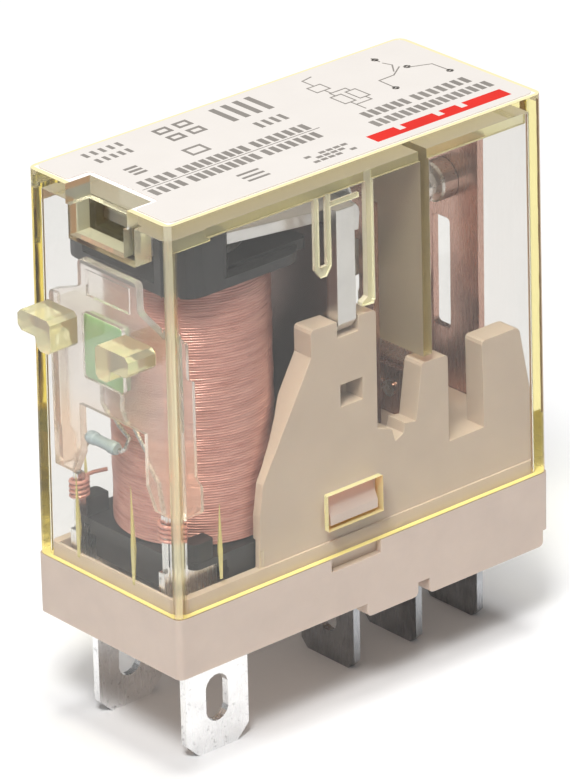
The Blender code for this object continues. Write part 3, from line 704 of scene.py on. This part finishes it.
def print_wiring(marks):
    """The changeover contact's symbol, and the coil's with its lamp circuit beside it."""
    add_route(marks, [(10.6, 4.6), (10.6, 3.9)])
    add_route(marks, [(10.6, 3.6), (10.8, 3.0), (10.2, 2.2)])
    add_route(marks, [(10.9, 2.5), (9.8, 1.75), (8.6, 1.7), (8.55, 0.4)])
    add_route(marks, [(11.2, 2.1), (12.6, 1.5), (12.65, 0.2)])
    for x, y in ((10.6, 4.3), (8.55, 0.2), (12.65, 0.0), (11.25, 2.2)):
        add_dot(marks, x, y)
    add_route(marks, [(6.1, 4.9), (5.3, 4.75), (5.3, 3.75)])
    add_frame(marks, 4.75, 2.8, 5.75, 3.7)
    add_route(marks, [(5.3, 2.8), (5.3, 2.2)])
    add_frame(marks, 4.8, 0.4, 5.6, 1.7)
    add_frame(marks, 6.0, 0.45, 6.75, 1.75)
    add_route(marks, [(5.2, 1.7), (5.2, 2.2), (6.4, 2.2), (6.4, 1.75)])
    add_route(marks, [(5.2, 0.4), (5.2, -0.1), (6.4, -0.1), (6.4, 0.45)])
    add_route(marks, [(5.2, -0.1), (5.2, -0.9)])


def print_lines(marks):
    """Blank lines of print: where each starts and ends, its place across, its height and its groups."""
    large = 0.86
    small = 0.6
    for start, end, y, height, words in (
        (4.3, 12.6, -1.7, large, (4, 5)),
        (3.8, 13.1, -3.05, large, (10,)),
        (-11.6, 1.1, -0.6, large, (3, 6, 5)),
        (-11.9, 0.8, -1.95, large, (3, 6, 5)),
        (-11.3, -8.2, 4.85, small, (5,)),
        (-11.2, -8.4, 3.75, small, (5,)),
    ):
        add_words(marks, start, end, y, height, words)
    add_route(marks, [(-11.9, -1.25), (1.3, -1.25)], 0.06)


def print_plain_marks(marks):
    """Bars, frames and squares that stand for nothing."""
    for left in (-1.4, -0.5, 0.4, 1.3):
        add_stroke(marks, (left, 3.05), (left, 4.95), 0.42)
    for left, low in ((-5.9, 3.1), (-4.4, 3.1), (-5.9, 4.35), (-4.4, 4.35)):
        add_frame(marks, left, low, left + 0.85, low + 0.6, 0.22)
    for left in (-0.9, -0.3, 0.3, 0.9):
        add_stroke(marks, (left, 1.15), (left, 1.75), 0.3)
    add_frame(marks, -6.5, 0.7, -5.3, 1.6, 0.2)
    for low in (0.8, 1.25, 1.7):
        add_stroke(marks, (-10.7, low), (-10.0, low), 0.24)
    for low in (-4.4, -3.9, -3.4):
        add_stroke(marks, (-6.7, low), (-5.3, low), 0.2)
    columns = [-2.2 + 0.55 * column for column in range(6)]
    rows = [-4.95 + 0.42 * row for row in range(3)]
    for column, x in enumerate(columns):
        for row, y in enumerate(rows):
            if (column * 2 + row * 3) % 5 != 3:
                add_stroke(marks, (x, y), (x + 0.16, y), 0.26)


def print_label(ink):
    marks = bmesh.new()
    print_wiring(marks)
    print_lines(marks)
    print_plain_marks(marks)
    piece = add_piece("label_print", marks, ink)


def print_colour_bar(red):
    """A low strip of colour with four blocks along it."""
    low, middle, high = -5.2, -4.75, -4.15
    root = LABEL_TOP - 0.002
    band = bmesh.new()
    add_block(band, (2.3, low, root), (12.7, middle, PRINT_TOP))
    for left, right in ((2.3, 4.4), (4.9, 7.4), (7.9, 9.2), (9.7, 12.7)):
        add_block(band, (left, middle, root), (right, high, PRINT_TOP))
    piece = add_piece("label_colour_bar", band, red)


def rounded_outline(corners, steps=4):
    """An outline's points, from its corners in order: (x, y, radius) each."""
    points = []
    for index, (x, y, radius) in enumerate(corners):
        here = Vector((x, y))
        before = (Vector(corners[index - 1][:2]) - here).normalized()
        after = (Vector(corners[(index + 1) % len(corners)][:2]) - here).normalized()
        for step in range(steps + 1):
            share = step / steps
            spoke = -after * (1 - share) - before * share
            points.append(here + (before + after + spoke.normalized()) * radius)
    return points


def lay_label(look):
    """The label film, thin enough to leave room for its print, with a notch at the pocket."""
    x, y = LABEL_HALF_X, LABEL_HALF_Y
    corners = [(-x, -y, 0.5), (x, -y, 0.5), (x, y, 0.5), (-x, y, 0.5)]
    corners += [(-x, NOTCH_HALF_Y, 0.2), (NOTCH_X, NOTCH_HALF_Y, 0.3)]
    corners += [(NOTCH_X, -NOTCH_HALF_Y, 0.3), (-x, -NOTCH_HALF_Y, 0.2)]
    points = [Vector((*point, LABEL_BOTTOM)) * MM for point in rounded_outline(corners)]
    shape = bmesh.new()
    outline = [shape.verts.new(point) for point in points]
    raised = bmesh.ops.extrude_face_region(shape, geom=[shape.faces.new(outline)])["geom"]
    lifted = [item for item in raised if isinstance(item, bmesh.types.BMVert)]
    bmesh.ops.translate(shape, verts=lifted, vec=(0, 0, (LABEL_TOP - LABEL_BOTTOM) * MM))
    bmesh.ops.recalc_face_normals(shape, faces=shape.faces)
    film = add_piece("label_sheet", shape, look)
    edge = film.modifiers.new("soft edge", "BEVEL")
    edge.width = 0.015 * MM
    edge.segments = 2
    edge.angle_limit = math.radians(50)
    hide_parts("top_label")


def add_guide(name, place, towards, low, high, look):
    """A slim guide rib on the inside of a cover wall, widest low down and drawn to a point at its top."""
    shape = bmesh.new()
    side = Vector((-towards.y, towards.x, 0))
    widest = low + (high - low) * 0.35
    rings = []
    for level, half, proud in ((low, 0.11, 0.12), (widest, 0.16, 0.3), (high, 0.015, 0.03)):
        corners = (-side * half, towards * proud, side * half)
        rings.append([shape.verts.new((Vector((*place, level)) + c) * MM) for c in corners])
    for below, above in zip(rings, rings[1:]):
        for step in range(3):
            after = (step + 1) % 3
            shape.faces.new((below[step], below[after], above[after], above[step]))
    shape.faces.new(rings[0][::-1])
    shape.faces.new(rings[-1])
    bmesh.ops.recalc_face_normals(shape, faces=shape.faces)
    piece = add_piece(name, shape, look)


def add_guides(look):
    front_face = -13.77
    side_face = 5.62
    for name, y, high in (("far", 2.95, 9.9), ("near", -2.0, 10.8)):
        inward = Vector((1, 0, 0))
        add_guide(f"front_guide_{name}", (front_face, y), inward, 4.5, high, look)
    for name, sign in (("near", -1), ("far", 1)):
        inward = Vector((0, -sign, 0))
        add_guide(f"side_guide_{name}", (-10.9, sign * side_face), inward, 5.2, 10.0, look)


def add_details():
    """The winding, the label with its print, and the cover's guide ribs."""
    wind_coil(nodes["coil_winding"].data.materials[0])
    lay_label(label_film())
    print_label(print_ink("grey print", (0.30, 0.275, 0.25)))
    print_colour_bar(print_ink("red print", (0.80, 0.03, 0.02)))
    add_guides(frosted_polycarbonate("guide ribs", (0.93, 0.86, 0.45), 0.45, 0.2, PLASTIC_DENSITY))


# Stage ----------------------------------------------------------------------------------------------


def add_floor(level):
    half_size = 1.5
    shape = bmesh.new()
    bmesh.ops.create_grid(shape, x_segments=8, y_segments=8, size=half_size)
    mesh = bpy.data.meshes.new("floor")
    shape.to_mesh(mesh)
    shape.free()
    floor = bpy.data.objects.new("floor", mesh)
    bpy.context.scene.collection.objects.link(floor)
    floor.location.z = level
    look = Look("floor paper", Roughness=0.9)
    look.feed("Base Color", look.blend(look.noise(0.02, 3.0), (0.96, 0.96, 0.96), (0.98, 0.98, 0.98)))
    mesh.materials.append(look.material)


def add_lamp(name, place, size, power):
    """A square softbox aimed at the middle of the relay."""
    aim = Vector((0, 0, 0.012))
    light = bpy.data.lights.new(name, "AREA")
    light.shape = "SQUARE"
    light.size = size
    light.energy = power
    lamp = bpy.data.objects.new(name, light)
    bpy.context.scene.collection.objects.link(lamp)
    lamp.location = place
    lamp.rotation_euler = (aim - lamp.location).to_track_quat("-Z", "Y").to_euler()


def add_world():
    """A pale studio, brighter to the left and overhead than to the right."""
    world = bpy.data.worlds.new("studio")
    bpy.context.scene.world = world
    world.use_nodes = True
    tree = world.node_tree
    place = tree.nodes.new("ShaderNodeTexCoord")
    split = tree.nodes.new("ShaderNodeSeparateXYZ")
    tree.links.new(place.outputs["Generated"], split.inputs["Vector"])
    across = tree.nodes.new("ShaderNodeMapRange")
    across.interpolation_type = "SMOOTHSTEP"
    tree.links.new(split.outputs["X"], across.inputs["Value"])
    for socket, value in (("From Min", -1.0), ("From Max", 1.0), ("To Min", 0.85), ("To Max", 0.5)):
        across.inputs[socket].default_value = value
    sky = tree.nodes["Background"]
    tree.links.new(across.outputs["Result"], sky.inputs["Color"])
    sky.inputs["Strength"].default_value = 0.3


def add_camera():
    """A long lens, looking down on the front near corner."""
    azimuth = math.radians(-40.707)
    elevation = math.radians(24.743)
    roll = math.radians(-1.317)
    distance, left_of_aim, below_aim = 362.69, 0.606, 2.165
    level = Vector((math.cos(azimuth), math.sin(azimuth), 0))
    outward = Vector((math.sin(azimuth), -math.cos(azimuth), 0))
    back = outward * math.cos(elevation) + Vector((0, 0, math.sin(elevation)))
    upright = back.cross(level)
    right = math.cos(roll) * level + math.sin(roll) * upright
    up = math.cos(roll) * upright - math.sin(roll) * level
    aim = Vector((0, 0, 14.0))
    place = (aim + back * distance - right * left_of_aim - up * below_aim) * MM
    data = bpy.data.cameras.new("camera")
    camera = bpy.data.objects.new("camera", data)
    bpy.context.scene.collection.objects.link(camera)
    camera.matrix_world = Matrix.Translation(place) @ Matrix((right, up, back)).transposed().to_4x4()
    data.lens = 287.6
    data.sensor_width = 36.0
    data.shift_x = 0.0035
    data.shift_y = 0.0009
    data.clip_start = 0.01
    bpy.context.scene.camera = camera


def add_stage():
    add_floor(cad_box[0].z)
    add_camera()
    add_world()
    add_lamp("key", (-0.34, -0.28, 0.62), 0.18, 3.7)
    add_lamp("top", (0.0, -0.05, 0.75), 0.3, 3.1)
    bpy.context.scene.view_settings.view_transform = "Standard"
    cycles = bpy.context.scene.cycles
    clear_bounces = 24
    cycles.max_bounces = 32
    cycles.glossy_bounces = clear_bounces
    cycles.transmission_bounces = clear_bounces
    cycles.transparent_max_bounces = clear_bounces


finish_nodes()
add_details()
add_stage()
